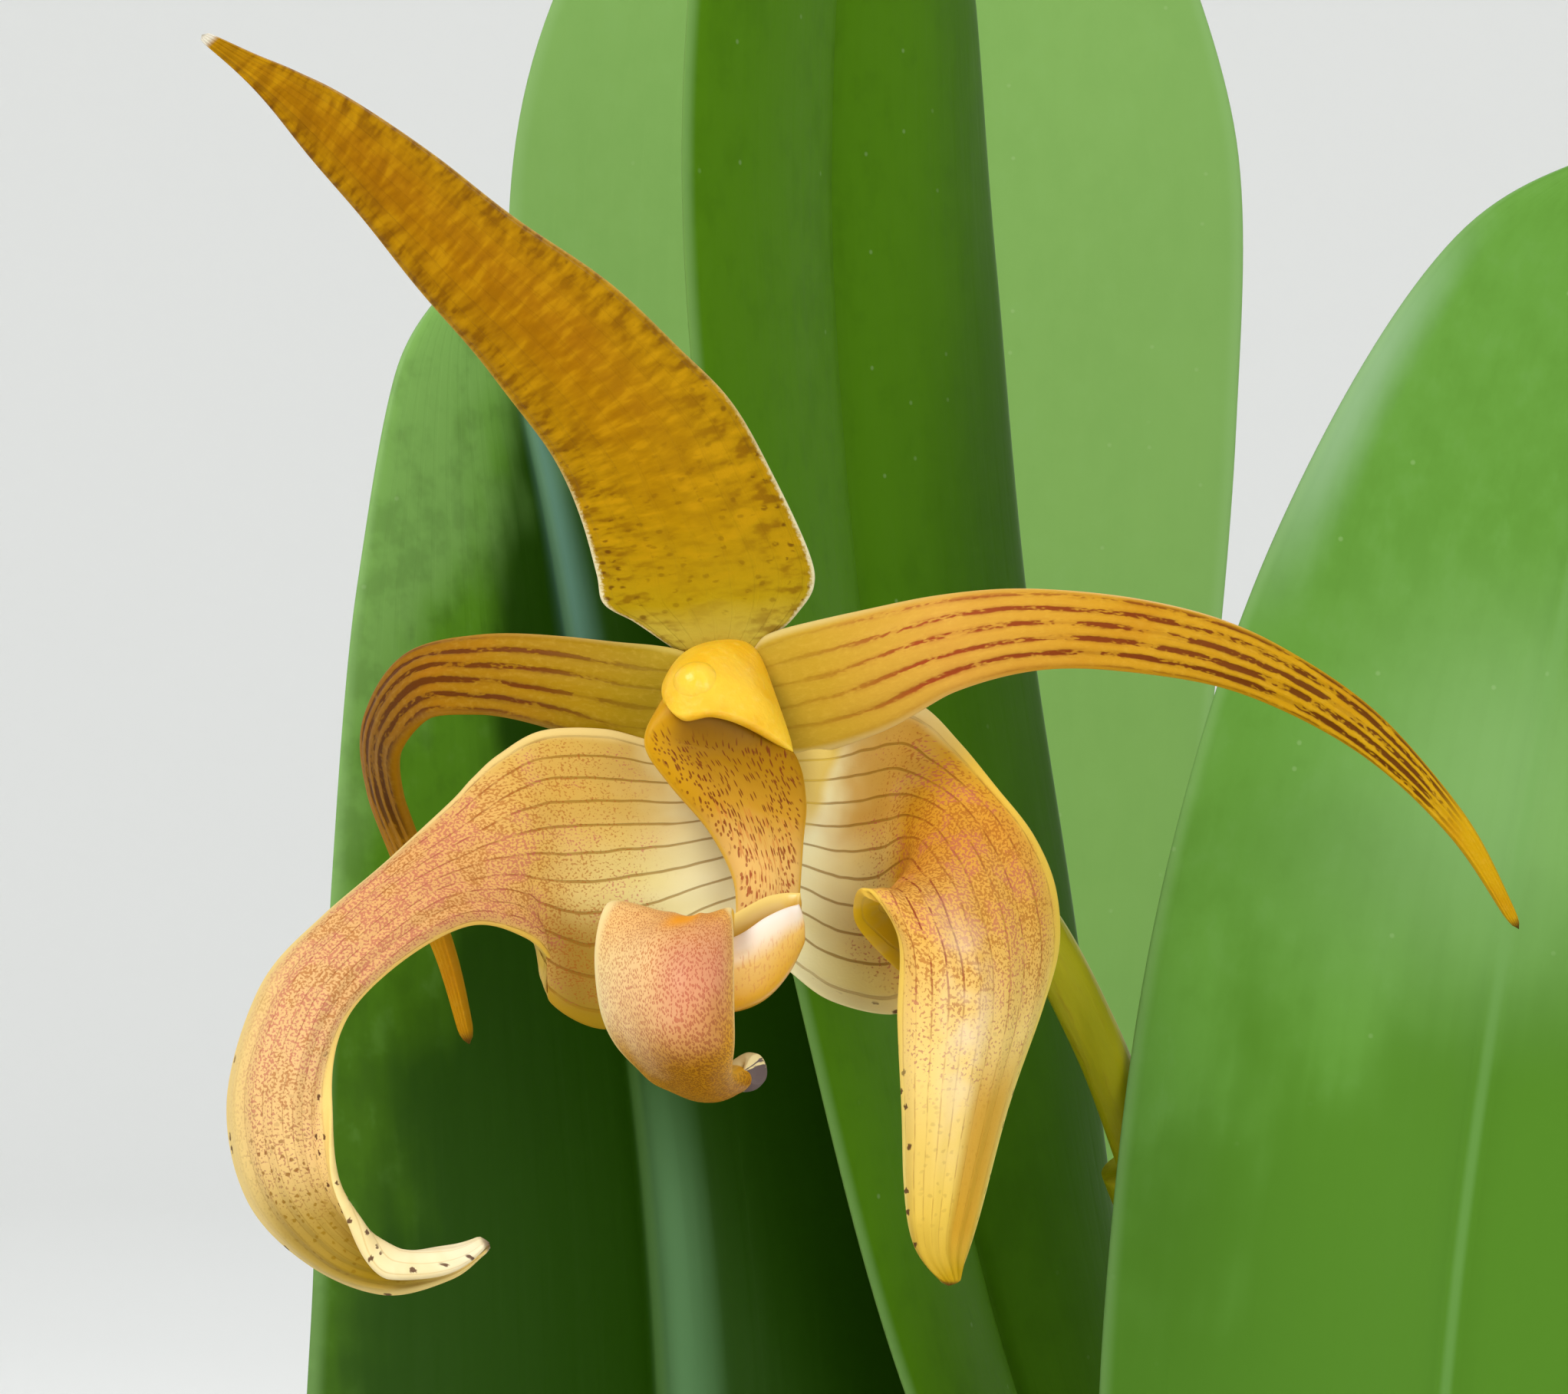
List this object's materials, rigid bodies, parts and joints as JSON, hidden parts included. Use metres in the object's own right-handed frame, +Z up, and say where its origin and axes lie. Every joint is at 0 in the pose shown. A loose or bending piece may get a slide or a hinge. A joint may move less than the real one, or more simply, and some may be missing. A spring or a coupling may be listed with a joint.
{
  "type": "potted bulbophyllum lobbii orchid in flower",
  "caption": "Potted orchid with upright leathery leaves on pseudobulbs and a bent stem carrying one ochre flower with striped petals, hooked sepals and a hinged lip.",
  "frame": {"origin": "centre of the pot's flat underside", "axes": "+Z up along the plant, the flower faces -Y, +X to the viewer's right"},
  "size_m": [0.1814, 0.1662, 0.3341],
  "materials": {
    "clay_pot": "unglazed fired clay, matt and slightly gritty",
    "bark_mix": "rough bark chips",
    "rhizome": "dry papery sheaths and pale roots",
    "pseudobulb": "smooth, semi-matt, softly furrowed",
    "leaf": "leathery, satin gloss, mottled light and dark green",
    "flower_stem": "satin olive yellow",
    "dorsal_sepal": "velvety golden ochre with brown mottling",
    "lateral_sepal": "satin cream and orange with veins and red dots",
    "petal": "satin gold with dark red stripes",
    "column": "waxy yellow with red-brown dashes",
    "anther_cap": "glossy bright yellow",
    "lip": "waxy orange with fine red-brown stipple"
  },
  "bodies": {
    "root": {"pot": "clay_pot", "potting_medium": "bark_mix", "rhizome_with_roots": "rhizome", "pseudobulb_1": "pseudobulb", "pseudobulb_2": "pseudobulb", "pseudobulb_3": "pseudobulb", "pseudobulb_4": "pseudobulb", "pseudobulb_5": "pseudobulb", "pseudobulb_6": "pseudobulb", "leaf_1": "leaf", "leaf_2": "leaf", "leaf_3": "leaf", "leaf_4": "leaf", "leaf_5": "leaf", "leaf_6": "leaf", "scape": "flower_stem", "pedicel_with_ovary": "flower_stem", "dorsal_sepal": "dorsal_sepal", "lateral_sepal_left": "lateral_sepal", "lateral_sepal_right": "lateral_sepal", "petal_left": "petal", "petal_right": "petal", "column": "column", "anther_cap": "anther_cap", "lip": "lip"}
  },
  "joints": []
}
